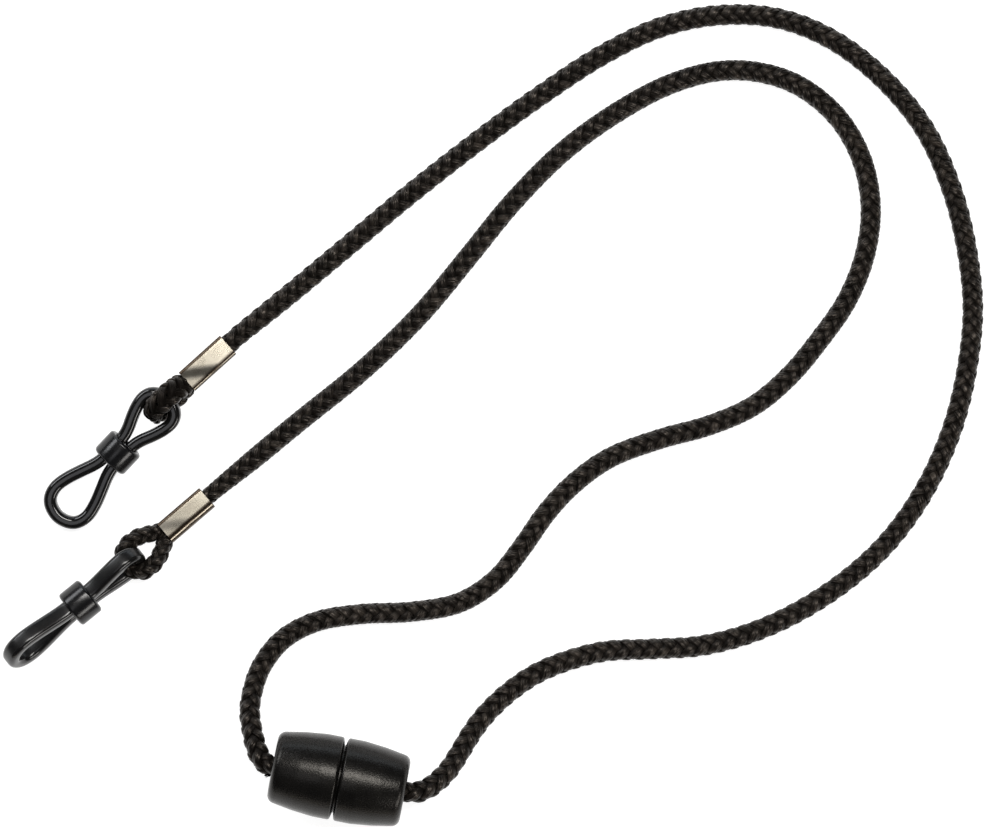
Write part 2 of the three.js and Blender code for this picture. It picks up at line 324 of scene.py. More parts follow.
def new_piece(name, points, faces, material, smooth_angle=35):
    """A mesh object from points in the layout's millimetres.

    It is shaded smooth, with its edges of more than smooth_angle degrees sharp, or none if that is None.
    """
    mesh = bpy.data.meshes.new(name)
    mesh.from_pydata(row_points(points).tolist(), [], [tuple(map(int, face)) for face in faces])
    mesh.validate()
    mesh.polygons.foreach_set("use_smooth", [True] * len(mesh.polygons))
    if smooth_angle is not None:
        mesh.set_sharp_from_angle(angle=math.radians(smooth_angle))
    piece = bpy.data.objects.new(name, mesh)
    bpy.context.collection.objects.link(piece)
    mesh.materials.append(material)
    return piece


def grid_faces(rows, columns, rows_close=False, columns_close=True, first=0):
    """Quads over a grid of points stored row by row."""
    faces = []
    for row in range(rows if rows_close else rows - 1):
        here = first + row * columns
        after = first + ((row + 1) % rows) * columns
        for column in range(columns if columns_close else columns - 1):
            right = (column + 1) % columns
            faces.append((here + column, here + right, after + right, after + column))
    return faces


def tube_faces(rows, columns, first=0):
    """The skin of a tube and a cap on each of its ends, over a grid of points stored ring by ring."""
    last = first + (rows - 1) * columns
    faces = grid_faces(rows, columns, first=first)
    faces.append(tuple(range(first + columns - 1, first - 1, -1)))
    faces.append(tuple(range(last, last + columns)))
    return faces


def add_point_values(piece, name, values):
    """Stores a number for each point of the mesh, which its material reads by name."""
    attribute = piece.data.attributes.new(name, "FLOAT", "POINT")
    attribute.data.foreach_set("value", values)


def rounded_corners(profile, steps=6):
    """A closed flat outline from (x, y, corner radius) entries, with its corners turned into arcs."""
    made = []
    count = len(profile)
    for i, (x, y, radius) in enumerate(profile):
        here = np.array((x, y), float)
        if not radius:
            made.append(here)
            continue
        before = np.array(profile[i - 1][:2], float)
        after = np.array(profile[(i + 1) % count][:2], float)
        to_before = unit(before - here)
        to_after = unit(after - here)
        half = math.acos(np.clip(to_before @ to_after, -1, 1)) / 2
        shorter_side = min(np.linalg.norm(before - here), np.linalg.norm(after - here))
        reach = min(radius / math.tan(half), 0.49 * shorter_side)
        centre = here + unit(to_before + to_after) * (reach / math.cos(half))
        start = here + to_before * reach - centre
        end = here + to_after * reach - centre
        sweep = math.atan2(start[0] * end[1] - start[1] * end[0], start @ end)
        for step in range(steps + 1):
            angle = sweep * step / steps
            turn = np.array([[math.cos(angle), -math.sin(angle)], [math.sin(angle), math.cos(angle)]])
            made.append(centre + turn @ start)
    return np.array(made)


def turned_points(profile, segments):
    """Rings about the x axis from a closed (x, radius) profile, one ring of profile points per segment."""
    angles = np.linspace(0, 2 * math.pi, segments, endpoint=False)
    x, radius = profile.T
    rings = [np.stack([x, radius * math.cos(angle), radius * math.sin(angle)], axis=1) for angle in angles]
    return np.vstack(rings), grid_faces(segments, len(profile), rows_close=True)


# ---------- materials ----------


def set_inputs(tree, node, **inputs):
    """Links each input that is given another node's socket, and sets any other on its own."""
    for key, value in inputs.items():
        socket = node.inputs[key.replace("_", " ")]
        if isinstance(value, bpy.types.NodeSocket):
            tree.links.new(value, socket)
        else:
            socket.default_value = value


def add_node(tree, kind, settings=None, **inputs):
    node = tree.nodes.new(kind)
    for key, value in (settings or {}).items():
        setattr(node, key, value)
    set_inputs(tree, node, **inputs)
    return node


def new_material(name):
    """A new material, its node tree, and its Principled shader for the caller to fill in."""
    material = bpy.data.materials.new(name)
    material.use_nodes = True
    tree = material.node_tree
    tree.nodes.clear()
    shader = add_node(tree, "ShaderNodeBsdfPrincipled")
    add_node(tree, "ShaderNodeOutputMaterial", Surface=shader.outputs["BSDF"])
    return material, tree, shader


def attribute_output(tree, name, output="Fac"):
    return add_node(tree, "ShaderNodeAttribute", {"attribute_name": name}).outputs[output]


def noise(tree, vector, scale, detail=3.0, roughness=0.5, stretch=(1, 1, 1)):
    mapped = add_node(tree, "ShaderNodeMapping", Vector=vector, Scale=stretch)
    made = add_node(
        tree,
        "ShaderNodeTexNoise",
        Vector=mapped.outputs["Vector"],
        Scale=scale,
        Detail=detail,
        Roughness=roughness,
    )
    return made.outputs["Fac"]


def colour_ramp(tree, factor, stops):
    node = add_node(tree, "ShaderNodeValToRGB", Fac=factor)
    ramp = node.color_ramp
    while len(ramp.elements) < len(stops):
        ramp.elements.new(0.5)
    for element, (position, colour) in zip(ramp.elements, stops):
        element.position = position
        element.color = (*colour, 1)
    return node.outputs["Color"]


def value_range(tree, value, low, high, source_low=0.3, source_high=0.7):
    """The value, stretched so that source_low becomes low and source_high becomes high."""
    node = add_node(
        tree,
        "ShaderNodeMapRange",
        Value=value,
        From_Min=source_low,
        From_Max=source_high,
        To_Min=low,
        To_Max=high,
    )
    return node.outputs["Result"]


def bump(tree, height, strength, distance, normal=None):
    inputs = {"Height": height, "Strength": strength, "Distance": distance * MILLIMETRE}
    if normal is not None:
        inputs["Normal"] = normal
    return add_node(tree, "ShaderNodeBump", **inputs).outputs["Normal"]


def object_coordinates(tree):
    return add_node(tree, "ShaderNodeTexCoord").outputs["Object"]


def make_braid_material():
    """Spun yarn, with painted shade down between the yarns: their reflection fades out there.

    The mesh's "yarn" attribute runs along and across each yarn in millimetres, and "crest" is how
    near a point is to the outside of the cord.
    """
    material, tree, shader = new_material("braided_cord")
    yarn = attribute_output(tree, "yarn", "Vector")
    crest = attribute_output(tree, "crest")
    crest_span = (0.62, 0.95)  # from the painted shade between the yarns to their tops
    fibres = noise(tree, yarn, 1.0, detail=3, roughness=0.6, stretch=(0.5, 4, 4))
    plies = noise(tree, yarn, 1.0, detail=1.5, roughness=0.5, stretch=(0.3, 2.4, 2.4))
    mottle = noise(tree, yarn, 0.45, detail=2)
    fibres_and_mottle = add_node(tree, "ShaderNodeMath", {"operation": "MULTIPLY_ADD"})
    tree.links.new(fibres, fibres_and_mottle.inputs[0])
    fibres_and_mottle.inputs[1].default_value = 0.6
    tree.links.new(value_range(tree, mottle, 0.0, 0.4), fibres_and_mottle.inputs[2])
    browns = [
        (0.25, (0.002, 0.0017, 0.0015)),
        (0.55, (0.006, 0.005, 0.0043)),
        (0.85, (0.032, 0.026, 0.021)),
    ]
    set_inputs(
        tree,
        shader,
        Base_Color=colour_ramp(tree, fibres_and_mottle.outputs[0], browns),
        Roughness=value_range(tree, crest, 0.6, 0.3, *crest_span),
        Normal=bump(tree, plies, 1.0, 0.3),
        # painted shade: the yarns' reflection fades to nothing down between them
        Specular_IOR_Level=value_range(tree, crest, 0.0, 0.3, *crest_span),
        Specular_Tint=(1.0, 0.87, 0.76, 1),
        Sheen_Weight=0.03,
        Sheen_Roughness=0.4,
        Sheen_Tint=(0.9, 0.8, 0.72, 1),
    )
    return material


def make_clasp_material():
    """Moulded black plastic with a fine spark-eroded grain."""
    material, tree, shader = new_material("clasp_plastic")
    where = object_coordinates(tree)
    grain = noise(tree, where, 3400, detail=3, roughness=0.6)
    cloud = noise(tree, where, 350, detail=2)
    blacks = [(0.3, (0.003, 0.0028, 0.0027)), (0.7, (0.006, 0.0055, 0.005))]
    set_inputs(
        tree,
        shader,
        Base_Color=colour_ramp(tree, cloud, blacks),
        Roughness=value_range(tree, grain, 0.22, 0.33),
        Normal=bump(tree, grain, 0.6, 0.05),
        Specular_IOR_Level=0.26,
        Specular_Tint=(1.0, 0.96, 0.9, 1),
    )
    return material


def make_bead_material():
    """Smoother and glossier black plastic than the clasp's."""
    material, tree, shader = new_material("bead_plastic")
    where = object_coordinates(tree)
    grain = noise(tree, where, 4200, detail=3, roughness=0.55)
    cloud = noise(tree, where, 500, detail=2)
    blacks = [(0.3, (0.003, 0.003, 0.0035)), (0.7, (0.006, 0.006, 0.0065))]
    set_inputs(
        tree,
        shader,
        Base_Color=colour_ramp(tree, cloud, blacks),
        Roughness=value_range(tree, grain, 0.18, 0.26),
        Normal=bump(tree, grain, 0.12, 0.03),
        Specular_IOR_Level=0.38,
    )
    return material


def make_rubber_material():
    """Finely grained rubber: glossy along the band's narrow edges and duller on its broad faces.

    The mesh's "edge" attribute is 1 along the edges and 0 in the middle of the broad faces.
    """
    material, tree, shader = new_material("loop_rubber")
    where = object_coordinates(tree)
    edge = attribute_output(tree, "edge")
    grain = noise(tree, where, 2600, detail=3, roughness=0.6)
    waves = noise(tree, where, 300, detail=2)
    haze = noise(tree, where, 1500, detail=4, roughness=0.6)
    ripple = bump(tree, waves, 0.2, 0.12)
    blacks = [(0.3, (0.003, 0.003, 0.0035)), (0.75, (0.008, 0.0075, 0.007))]
    set_inputs(
        tree,
        shader,
        Base_Color=colour_ramp(tree, haze, blacks),
        Roughness=value_range(tree, edge, 0.3, 0.12, 0.0, 1.0),
        Normal=bump(tree, grain, 0.12, 0.04, ripple),
        Specular_IOR_Level=0.5,
    )
    return material


def make_ferrule_material():
    """Plated sheet in a warm pale nickel, dulled in patches, with brown painted shade over its folds.

    The mesh's "painted_light" attribute is 1 on the top, 0 where the brown painted shade lies and 0.6 along
    a painted highlight line.
    """
    material, tree, shader = new_material("ferrule_metal")
    where = object_coordinates(tree)
    painted_light = attribute_output(tree, "painted_light")
    patches = noise(tree, where, 260, detail=3)
    shade_speckle = noise(tree, where, 1600, detail=5, roughness=0.7)
    waves = noise(tree, where, 240, detail=0)
    plated = colour_ramp(tree, patches, [(0.3, (0.43, 0.39, 0.315)), (0.7, (0.48, 0.445, 0.37))])
    # painted shade: a dark brown for the folds, with a fine speckle in it
    painted_shade = colour_ramp(tree, shade_speckle, [(0.3, (0.04, 0.029, 0.02)), (0.7, (0.1, 0.075, 0.054))])
    colour = add_node(tree, "ShaderNodeMix", {"data_type": "RGBA"}, Factor=painted_light, A=painted_shade, B=plated)
    set_inputs(
        tree,
        shader,
        Base_Color=colour.outputs["Result"],
        Metallic=1.0,
        Roughness=value_range(tree, patches, 0.25, 0.29),
        Normal=bump(tree, waves, 0.15, 0.05),
    )
    return material


def make_floor_material():
    """A white light-table surface: pale, matt and faintly glowing."""
    material, tree, shader = new_material("pale_floor")
    where = object_coordinates(tree)
    tone = noise(tree, where, 6, detail=2)
    set_inputs(
        tree,
        shader,
        Base_Color=colour_ramp(tree, tone, [(0.3, (0.42, 0.42, 0.42)), (0.7, (0.45, 0.45, 0.45))]),
        Roughness=0.9,
        Specular_IOR_Level=0.1,
        Emission_Color=(1, 1, 1, 1),
        Emission_Strength=0.85,
    )
    return material


# ---------- camera, light and floor ----------

VIEW_CENTRE = (25.6, 60.7)  # the middle of the picture, in the layout
VIEW_WIDTH = 164.3
CAMERA_HEIGHT = 2400.0
SENSOR_WIDTH = 36.0
FLOOR_HALF_WIDTH = 1500.0
FLOOR_HEIGHT = -0.02


def add_camera():
    """A camera high above the middle of the strap, looking straight down."""
    data = bpy.data.cameras.new("camera")
    data.type = "PERSP"
    data.sensor_width = SENSOR_WIDTH
    data.lens = SENSOR_WIDTH * CAMERA_HEIGHT / VIEW_WIDTH
    camera = bpy.data.objects.new("camera", data)
    camera.location = row_point(*VIEW_CENTRE, CAMERA_HEIGHT)
    bpy.context.collection.objects.link(camera)
    bpy.context.scene.camera = camera


def add_area_light(name, position, target, size, radiance, colour):
    """A soft rectangular light, placed in the layout's millimetres and aimed at a target."""
    data = bpy.data.lights.new(name, "AREA")
    data.shape = "RECTANGLE"
    data.size, data.size_y = (side * MILLIMETRE for side in size)
    data.energy = radiance * math.pi * data.size * data.size_y
    data.color = colour
    light = bpy.data.objects.new(name, data)
    light.location = row_point(*position)
    aim = row_point(*target) - light.location
    light.rotation_euler = aim.to_track_quat("-Z", "Y").to_euler()
    bpy.context.collection.objects.link(light)


def add_lights():
    middle = (25, 55, 0)
    add_area_light("overhead_soft", (130, 350, 1150), middle, (760, 260), 17, (1.0, 0.98, 0.95))
    add_area_light("cool_back", (20, 1150, 200), middle, (1500, 200), 2.4, (0.82, 0.91, 1.0))
    add_area_light("warm_front", (60, -1050, 140), middle, (1500, 120), 1.4, (1.0, 0.9, 0.78))
    add_area_light("upper_left_box", (-900, 900, 730), middle, (900, 440), 7, (0.95, 0.97, 1.0))
    add_area_light("lower_right_box", (900, -830, 760), middle, (900, 400), 7, (1.0, 0.97, 0.93))
    add_area_light("overhead_left", (-290, -150, 1150), middle, (330, 330), 1.3, (0.95, 0.95, 1.0))
    world = bpy.data.worlds.new("studio")
    world.use_nodes = True
    background = world.node_tree.nodes["Background"]
    background.inputs["Color"].default_value = (0.9, 0.92, 0.95, 1)
    background.inputs["Strength"].default_value = 0.05
    bpy.context.scene.world = world


def add_floor(material):
    count = 9
    lines = np.linspace(-FLOOR_HALF_WIDTH, FLOOR_HALF_WIDTH, count)
    points = [(VIEW_CENTRE[0] + x, VIEW_CENTRE[1] + y, FLOOR_HEIGHT) for y in lines for x in lines]
    floor = new_piece("floor", points, grid_faces(count, count, columns_close=False), material, None)


# ---------- braided cord ----------

YARNS_EACH_WAY = 4
YARN_SIDES = 8
SAMPLES_PER_LAY = 30
# as shares of the cord's radius
YARN_RING = 0.54
YARN_LIFT = 0.21
YARN_WIDTH = 0.82
YARN_HEIGHT = 0.5
YARN_SPREAD = 0.12  # how much wider a yarn is where it lies on top
YARN_PATTERN_STEP = 41.0  # how far each yarn's spun pattern is shifted from the last one's


def round_shape(distance, length):
    """The shape of a cord that is round and of full size all along."""
    return 1.0, 1.0


def make_braid(name, path, radius, lay, material, shape=round_shape, first_normal=None, phase=0.0):
    """Eight flat yarns round a path, four each way, each passing over two and then under two.

    shape gives the cord's relative size and breadth at a distance along it; a breadth over 1
    flattens the cord, widening it along first_normal. phase turns the whole braid, in degrees.
    """
    path = evenly(path, lay / SAMPLES_PER_LAY)
    along = arc_lengths(path)
    tangents, normals, binormals = path_frames(path, first_normal)
    shapes = np.array([shape(distance, along[-1]) for distance in along])
    local_radius = radius * shapes[:, 0]
    breadth = shapes[:, 1:]
    around = 2 * math.pi * np.arange(YARN_SIDES) / YARN_SIDES
    points, coordinates, crests, faces = [], [], [], []
    for way in (1, -1):
        for number in range(YARNS_EACH_WAY):
            angle = 2 * math.pi * (number / YARNS_EACH_WAY + way * along / lay) + math.radians(phase)
            crossings = 2 * YARNS_EACH_WAY * along / lay
            lift = way * np.cos(math.pi / 2 * (2 * number + way * crossings - 0.5))
            cosine = np.cos(angle)[:, None]
            sine = np.sin(angle)[:, None]
            ring = normals * cosine * breadth + binormals * sine / breadth
            outward = unit(normals * cosine / breadth + binormals * sine * breadth)
            offset = ring * YARN_RING + outward * (YARN_LIFT * lift)[:, None]
            centre = path + offset * local_radius[:, None]
            direction = unit(np.gradient(centre, axis=0))
            outward = unit(outward - direction * np.sum(outward * direction, axis=1, keepdims=True))
            across = np.cross(direction, outward)
            half_width = local_radius * YARN_WIDTH / 2 * (1 + YARN_SPREAD * lift)
            half_height = local_radius * YARN_HEIGHT / 2
            rings = (
                centre[:, None]
                + across[:, None] * (half_width[:, None] * np.cos(around))[..., None]
                + outward[:, None] * (half_height[:, None] * np.sin(around))[..., None]
            )
            first = len(points) * len(path) * YARN_SIDES
            points.append(rings.reshape(-1, 3))
            reach = np.sum((rings - path[:, None]) * outward[:, None], axis=2)
            crests.append((reach / local_radius[:, None]).ravel())
            yarn_number = number + YARNS_EACH_WAY * (way < 0)
            coordinates.append(
                np.stack(
                    [
                        np.repeat(along + YARN_PATTERN_STEP * yarn_number, YARN_SIDES),
                        (half_width[:, None] * np.cos(around)).ravel(),
                        (half_height[:, None] * np.sin(around)).ravel(),
                    ],
                    axis=1,
                )
            )
            faces += tube_faces(len(path), YARN_SIDES, first)
    piece = new_piece(name, np.vstack(points), faces, material, None)
    attribute = piece.data.attributes.new("yarn", "FLOAT_VECTOR", "POINT")
    attribute.data.foreach_set("vector", np.vstack(coordinates).astype(np.float32).ravel())
    add_point_values(piece, "crest", np.concatenate(crests).astype(np.float32))
    return piece


def add_cord_run(side, route, body, ferrule, narrowing, phase):
    """The free run: from its knot's chamber through the clasp's end hole and on into the ferrule.

    narrowing is the share of its size that it loses by the ferrule, and phase turns its braid.
    """
    inside_clasp = [(CLASP_END[side] * x, 0, 0) for x in (CHAMBER_END - 0.6, CLASP_HALF_LENGTH - 0.8)]
    inside_ferrule = [(FERRULE_LENGTH - 1.4, 0, 0)]
    start = moved(inside_clasp, CLASP_FRAME)
    end = moved(inside_ferrule, turned_frame(*ferrule))
    path = softened(evenly(curve_through([*start, *route, *end]), spacing=0.25), reach=6)
    path[:, 2] = np.maximum(path[:, 2], CORD_RADIUS)
    clasp_narrowing = 0.1
    taper_length = 14

    def shape(distance, length):
        at_clasp = clasp_narrowing * ease((4.5 - distance) / 3)
        at_ferrule = narrowing * ease(1 - (length - distance) / taper_length)
        return 1 - at_clasp - at_ferrule, 1.0

    name = f"braided_run_{side}"
    run = make_braid(name, path, CORD_RADIUS, BRAID_LAY, braid_material, shape, phase=phase)
    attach(run, body)
    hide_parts(f"cord_run_{side}")


def add_cord_eye(side, body, ferrule, half, tip, radius, roll, breadth, pinch):
    """The eye and the two legs that the ferrule squeezes together.

    breadth flattens the eye's cord; pinch is how much the rubber loop squeezes its bight.
    """
    across = math.cos(math.radians(roll))
    upright = math.sin(math.radians(roll))
    leg_offset = 0.8
    leg_length = FERRULE_LENGTH - 2.2
    leg_size = 0.6  # as a share of the eye's own cord
    leg = [(x, leg_offset, 0) for x in (-leg_length, -5.0, -2.5, -0.8)]
    side_points = leg + list(half)
    points = [(-a, b * across, b * upright + lift) for a, b, lift in side_points]
    points.append((-tip[0], 0, tip[2]))
    points += [(-a, -b * across, -b * upright + lift) for a, b, lift in reversed(side_points)]
    matrix = turned_frame(*ferrule)
    path = softened(evenly(curve_through(moved(points, matrix)), spacing=0.15), reach=5)
    broadside = moved([(0, -upright, across)], matrix)[0] - moved([(0, 0, 0)], matrix)[0]
    bight_reach = 3.4

    def shape(distance, length):
        from_end = min(distance, length - distance)
        free = ease((from_end - leg_length + 0.8) / 1.8)
        at_bight = ease(1 - (length / 2 - from_end) / bight_reach)
        return leg_size + (1 - leg_size) * free - pinch * at_bight, 1 + (breadth - 1) * free

    name = f"braided_eye_{side}"
    eye = make_braid(name, path, radius, EYE_LAY, braid_material, shape, first_normal=broadside)
    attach(eye, body)
    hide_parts(f"cord_eye_{side}")


def add_knot(side, body):
    """The stopper knot inside the clasp: a tight overhand knot of thinner cord."""
    turns = np.linspace(0, 2 * math.pi, 160)
    middle = (SOCKET_DEPTH + CHAMBER_END) / 2 - 0.1
    half_length = 0.62
    breadth = 0.52
    knot = np.stack(
        [
            CLASP_END[side] * middle - half_length * np.sin(3 * turns),
            breadth * (np.sin(turns) + 2 * np.sin(2 * turns)),
            breadth * (np.cos(turns) - 2 * np.cos(2 * turns)),
        ],
        axis=1,
    )
    path = moved(knot, CLASP_FRAME)
    piece = make_braid(f"braided_knot_{side}", path, KNOT_CORD_RADIUS, KNOT_LAY, braid_material)
    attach(piece, body)
    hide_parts(f"cord_knot_{side}")


def add_cut_ends():
    """A few frayed yarn ends of the knot that poke out of the socket half's cord hole."""
    rng = np.random.default_rng(7)
    rings, faces = [], []
    count = 9
    sides = 5
    steps = 7
    root_radius = 0.16
    tip_radius = 0.07
    for _ in range(count):
        start = np.array((-10.8, 0.95, 6.8)) + rng.uniform(-0.2, 0.2, 3)
        reach = np.array((-1.45, -0.45, 0.3)) * rng.uniform(0.7, 1.05) + rng.uniform(-0.25, 0.25, 3)
        droop = rng.uniform(-0.35, 0.25)
        shares = np.linspace(0, 1, steps)[:, None]
        path = start + reach * shares + np.array((0, 0, droop)) * shares**2
        _, normals, binormals = path_frames(path)
        first = len(rings) * steps * sides
        around = 2 * math.pi * np.arange(sides) / sides
        radii = np.linspace(root_radius, tip_radius, steps)[:, None, None]
        circle = normals[:, None] * np.cos(around)[:, None] + binormals[:, None] * np.sin(around)[:, None]
        rings.append((path[:, None] + circle * radii).reshape(-1, 3))
        faces += tube_faces(steps, sides, first)
    piece = new_piece("frayed_cut_ends", np.vstack(rings), faces, braid_material, None)
    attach(piece, "socket_side")


# ---------- clasp ----------


def barrel_outside():
    """(x, radius, corner radius) from the parting line over the outside and in to the knot's chamber."""
    return [
        (PARTING_GAP / 2, SOCKET_RADIUS + 0.3, 0),
        (PARTING_GAP / 2, CLASP_RIM_RADIUS - GROOVE_DEPTH, 0),
        (GROOVE_FLOOR, CLASP_RIM_RADIUS - GROOVE_DEPTH, 0),
        (GROOVE_MOUTH, CLASP_RIM_RADIUS, 0.42),
        (3.2, CLASP_RIM_RADIUS, 4),
        (6.8, CLASP_RIM_RADIUS - 0.38, 6),
        (CLASP_HALF_LENGTH, CLASP_END_RADIUS - 0.05, 1.4),
        (CLASP_HALF_LENGTH, CORD_HOLE_RADIUS, 0.3),
        (CHAMBER_END, CORD_HOLE_RADIUS, 0),
        (CHAMBER_END, CHAMBER_RADIUS, 0.3),
    ]


def add_clasp_half(name, node, body, profile, outward):
    """One half, turned from its profile; outward is which way along the clasp it lies."""
    outline = rounded_corners(profile, steps=7)
    outline = np.stack([outline[:, 0] * outward, outline[:, 1]], axis=1)
    points, faces = turned_points(outline, 128)
    if outward < 0:
        faces = [face[::-1] for face in faces]
    piece = new_piece(name, moved(points, CLASP_FRAME), faces, clasp_material, 40)
    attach(piece, body)
    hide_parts(node)


def add_clasp():
    socket = barrel_outside() + [
        (SOCKET_DEPTH, CHAMBER_RADIUS, 0.2),
        (SOCKET_DEPTH, SOCKET_RADIUS, 0.3),
        (PARTING_GAP / 2, SOCKET_RADIUS, 0.3),
    ]
    plug = barrel_outside() + [
        (-NOSE_LENGTH, CHAMBER_RADIUS, 0.25),
        (-NOSE_LENGTH, NOSE_RADIUS, 0.7),
        (-NOSE_LENGTH + 2.2, NOSE_RADIUS, 0),
        (-NOSE_LENGTH + 2.6, NOSE_RADIUS + 0.16, 0.3),
        (-NOSE_LENGTH + 3.2, NOSE_RADIUS + 0.16, 0.3),
        (-NOSE_LENGTH + 3.6, NOSE_RADIUS, 0),
        (PARTING_GAP / 2, NOSE_RADIUS, 0.1),
    ]
    add_clasp_half("barrel_socket_half", "clasp_socket", "socket_side", socket, CLASP_END["socket_side"])
    add_clasp_half("barrel_plug_half", "clasp_plug", "plug_side", plug, CLASP_END["plug_side"])


# ---------- ferrules ----------


def sheet_chain(half, corners, per_side=7, per_corner=8):
    """Points round a square section from one lip of the seam to the other, by way of the top.

    The seam is half-way down the near side. corners are the radii of the near top, far top, far
    bottom and near bottom corners.
    """
    legs = [
        ((-half, FERRULE_SEAM), (-half, half)),
        ((-half, half), (half, half)),
        ((half, half), (half, -half)),
        ((half, -half), (-half, -half)),
        ((-half, -half), (-half, -FERRULE_SEAM)),
    ]
    last_leg = len(legs) - 1
    points = []
    for i, (start, end) in enumerate(legs):
        start, end = np.array(start), np.array(end)
        along = unit(end - start)
        first = start + along * (corners[i - 1] if i else 0)
        last = end - along * (corners[i] if i < last_leg else 0)
        points += [first + (last - first) * k / per_side for k in range(per_side + 1)]
        if i == last_leg:
            break
        next_along = unit(np.array(legs[i + 1][1]) - np.array(legs[i + 1][0]))
        centre = end - along * corners[i] + next_along * corners[i]
        for k in range(1, per_corner):
            angle = math.pi / 2 * k / per_corner
            offset = along * math.sin(angle) - next_along * math.cos(angle)
            points.append(centre + offset * corners[i])
    return np.array(points)


def fold_painted_light(y, fold):
    """Painted light: bright on top, a painted highlight along one thin line of the near fold, and brown
    painted shade over the rest of the folds.
    """
    blur = 0.14
    far_fold = 0.5
    top = ease((y + FERRULE_HALF - fold) / blur) * ease((FERRULE_HALF - far_fold - y) / blur)
    # the painted highlight line along the near fold
    line = FERRULE_HALF - 0.42 * fold
    line_painted_light = 0.6
    line_half_width = 0.12
    return max(top, line_painted_light * ease((line_half_width - abs(y + line)) / 0.07))


def add_ferrule(side, body, place, dent, fold):
    """A square tube folded from sheet.

    dent is how deep its top is crimped near the eye, and fold is the radius of its near top corner.
    """
    outer = sheet_chain(FERRULE_HALF, (fold, 0.6, 0.5, 0.8))
    inner = sheet_chain(FERRULE_HALF - FERRULE_WALL, (fold - 0.35, 0.25, 0.2, 0.45))
    stations = 46
    crimp_end = 0.42  # as a share of the tube's length, like crimp_ramp
    crimp_ramp = 0.34
    crimp_slant = 0.16  # how much further along the crimp runs, per millimetre towards the near side
    belly_height = 0.05
    chain = len(outer)
    points = []
    for skin in (outer, inner):
        for station in range(stations):
            share = station / (stations - 1)
            x = FERRULE_LENGTH * share
            for y, z in skin:
                top = ease((z - 0.6) / 1.0)
                slanted = share + crimp_slant * y
                crimp = dent * ease((crimp_end - slanted) / crimp_ramp) * top
                belly = belly_height * math.sin(math.pi * share) * top
                points.append((x, y, z - crimp + belly))
    inner_first = stations * chain
    faces = [face[::-1] for face in grid_faces(stations, chain, columns_close=False)]
    faces += grid_faces(stations, chain, columns_close=False, first=inner_first)
    for end, flip in ((0, False), (stations - 1, True)):
        for k in range(chain - 1):
            a = end * chain + k
            face = (a, a + 1, inner_first + a + 1, inner_first + a)
            faces.append(face[::-1] if flip else face)
    for station in range(stations - 1):
        for k, flip in ((0, True), (chain - 1, False)):
            a = station * chain + k
            face = (a, a + chain, inner_first + a + chain, inner_first + a)
            faces.append(face[::-1] if flip else face)
    placed = moved(points, turned_frame(*place))
    piece = new_piece(f"folded_ferrule_{side}", placed, faces, ferrule_material, 40)
    # painted light: bright top, a painted highlight line on the near fold and brown painted shade over the
    # other folds
    add_point_values(piece, "painted_light", [fold_painted_light(y, fold) for _, y, _ in points])
    bevel = piece.modifiers.new("bevel", "BEVEL")
    bevel.width = 0.05 * MILLIMETRE
    bevel.segments = 2
    bevel.limit_method = "ANGLE"
    bevel.angle_limit = 1.0
    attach(piece, body)
    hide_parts(f"ferrule_{side}")


# ---------- temple loops and beads ----------


def band_section():
    """The band's section, its thickness first and its width second."""
    half_thickness = BAND_THICKNESS / 2
    half_width = BAND_WIDTH / 2
    corners = [
        (half_thickness, -half_width, BAND_CORNER),
        (half_thickness, half_width, BAND_CORNER),
        (-half_thickness, half_width, BAND_CORNER),
        (-half_thickness, -half_width, BAND_CORNER),
    ]
    return rounded_corners(corners)


def loop_half_path(spectacle_side, spread):
    """The strand's centreline from the bead round one end of the loop and back to the bead.

    spread is how much wider than the other loop this one lies open.
    """
    straight = 3  # how far from the bead's middle the spread starts
    ramp = 5  # the length over which it grows
    if spectacle_side:
        share = 0.6  # of the spread
        gaps = [(x, y + share * spread * ease((-x - straight) / ramp)) for x, y in LOOP_HALF_GAPS if x <= 0]
        gaps.reverse()
        tip = LOOP_SPECTACLE_TIP
    else:
        gaps = [(x, y + spread * ease((x - straight) / ramp)) for x, y in LOOP_HALF_GAPS if x >= 0]
        tip = LOOP_CORD_TIP
    there = [(x, y, 0) for x, y in gaps]
    back = [(x, -y, 0) for x, y in reversed(gaps)]
    return softened(evenly(curve_through([*there, (tip, 0, 0), *back]), spacing=0.22), reach=3)


def add_temple_loop(side, place, spread):
    """One endless band, made as the two stretches either side of the bead, which pinches them together."""
    section = band_section()
    upward = np.array((0, 0, 1))
    matrix = turned_frame(*place)
    for spectacle_side in (True, False):
        path = loop_half_path(spectacle_side, spread)
        tangents = unit(np.gradient(path, axis=0))
        sideways = np.cross(tangents, (0, 0, 1))
        rings = path[:, None] + sideways[:, None] * section[None, :, :1] + upward * section[None, :, 1:]
        faces = [face[::-1] for face in tube_faces(len(path), len(section))]
        end = "spectacle_end" if spectacle_side else "cord_end"
        points = moved(rings.reshape(-1, 3), matrix)
        piece = new_piece(f"rubber_loop_{end}_{side}", points, faces, rubber_material, 50)
        across = np.tile(np.abs(section[:, 1]) / (BAND_WIDTH / 2), len(path))
        add_point_values(piece, "edge", [ease((share - 0.5) / 0.3) for share in across])
        reach = LOOP_SPECTACLE_TIP if spectacle_side else LOOP_CORD_TIP
        bending_share = 0.8 if spectacle_side else 0.68  # of the stretch
        near = moved([(math.copysign(BEAD_LENGTH / 2, reach), 0, 0)], matrix)[0]
        far = moved([(reach * bending_share, 0, 0)], matrix)[0]
        tuple(row_point(*near))
        tuple(row_point(*far))
        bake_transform(piece)
        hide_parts(f"temple_loop_{side}")


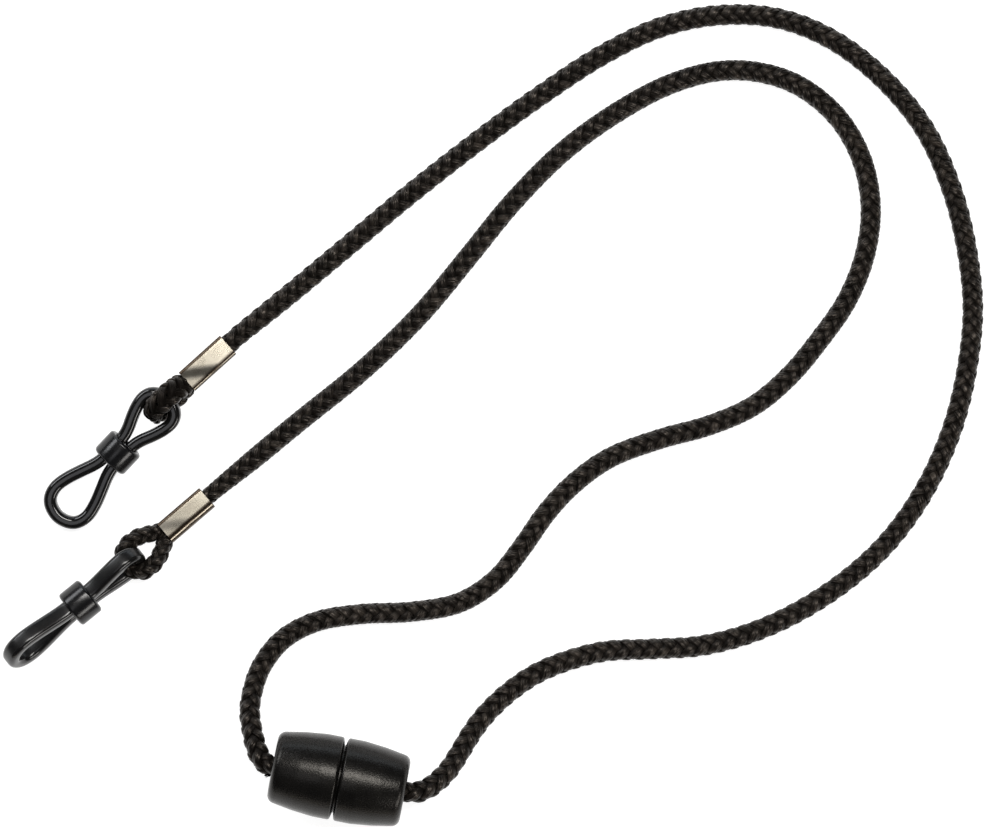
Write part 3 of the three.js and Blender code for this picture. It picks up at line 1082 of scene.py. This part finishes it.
def add_bead(side, place, body):
    """A short round bead with one slot for both strands and rounded rims."""
    half = BEAD_LENGTH / 2
    segments = 96
    slot_breadth, slot_height = BEAD_SLOT_HALVES
    signs = ((1, -1), (1, 1), (-1, 1), (-1, -1))
    slot = rounded_corners([(i * slot_breadth, j * slot_height, BEAD_SLOT_CORNER) for i, j in signs])
    slot_angles = np.arctan2(slot[:, 1], slot[:, 0])
    order = np.argsort(slot_angles)
    slot_radii = np.hypot(slot[:, 0], slot[:, 1])[order]
    slot_angles = slot_angles[order]
    angles = np.linspace(-math.pi, math.pi, segments, endpoint=False)
    inner = np.interp(angles, slot_angles, slot_radii, period=2 * math.pi)
    # (share of the way from the slot's wall to the outside, x), rounded at each corner
    outline = rounded_corners(
        [
            (0, -half, 0.2),
            (1, -half, 0.5),
            (1, half, 0.5),
            (0, half, 0.2),
        ],
        steps=7,
    )
    points = []
    for angle, wall in zip(angles, inner):
        for share, x in outline:
            swell = BEAD_SWELL * share * (1 - (x / half) ** 2)
            radius = wall + (BEAD_RADIUS - wall) * share + swell
            points.append((x, radius * math.cos(angle), radius * math.sin(angle)))
    faces = grid_faces(segments, len(outline), rows_close=True)
    placed = moved(points, turned_frame(*place))
    piece = new_piece(f"slotted_bead_{side}", placed, faces, bead_material, 45)
    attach(piece, body)
    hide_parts(f"slide_bead_{side}")


# ---------- the whole strap ----------

bpy.context.scene.view_settings.view_transform = "Standard"

add_camera()
braid_material = make_braid_material()
add_cord_run("plug_side", PLUG_SIDE_ROUTE, "plug_side", PLUG_FERRULE, 0.06, 0)
add_cord_run("socket_side", SOCKET_SIDE_ROUTE, "socket_side", SOCKET_FERRULE, 0.2, 45)
standing = (STANDING_EYE, STANDING_EYE_TIP, EYE_CORD_RADIUS, STANDING_EYE_ROLL)
lying = (LYING_EYE, LYING_EYE_TIP, EYE_CORD_RADIUS, 0)
add_cord_eye("plug_side", "plug_side", PLUG_FERRULE, *standing, breadth=1.75, pinch=0.22)
add_cord_eye("socket_side", "socket_side", SOCKET_FERRULE, *lying, breadth=1.0, pinch=0.3)
add_knot("plug_side", "plug_side")
add_knot("socket_side", "socket_side")
add_cut_ends()

clasp_material = make_clasp_material()
add_clasp()

ferrule_material = make_ferrule_material()
add_ferrule("plug_side", "plug_side", PLUG_FERRULE, 0.35, 0.6)
add_ferrule("socket_side", "socket_side", SOCKET_FERRULE, 0.12, 1.2)

rubber_material = make_rubber_material()
bead_material = make_bead_material()
add_temple_loop("plug_side", PLUG_LOOP, 0.35)
add_temple_loop("socket_side", SOCKET_LOOP, 0.0)
add_bead("plug_side", PLUG_LOOP, "bead_on_plug_side")
add_bead("socket_side", SOCKET_LOOP, "bead_on_socket_side")

add_floor(make_floor_material())
add_lights()
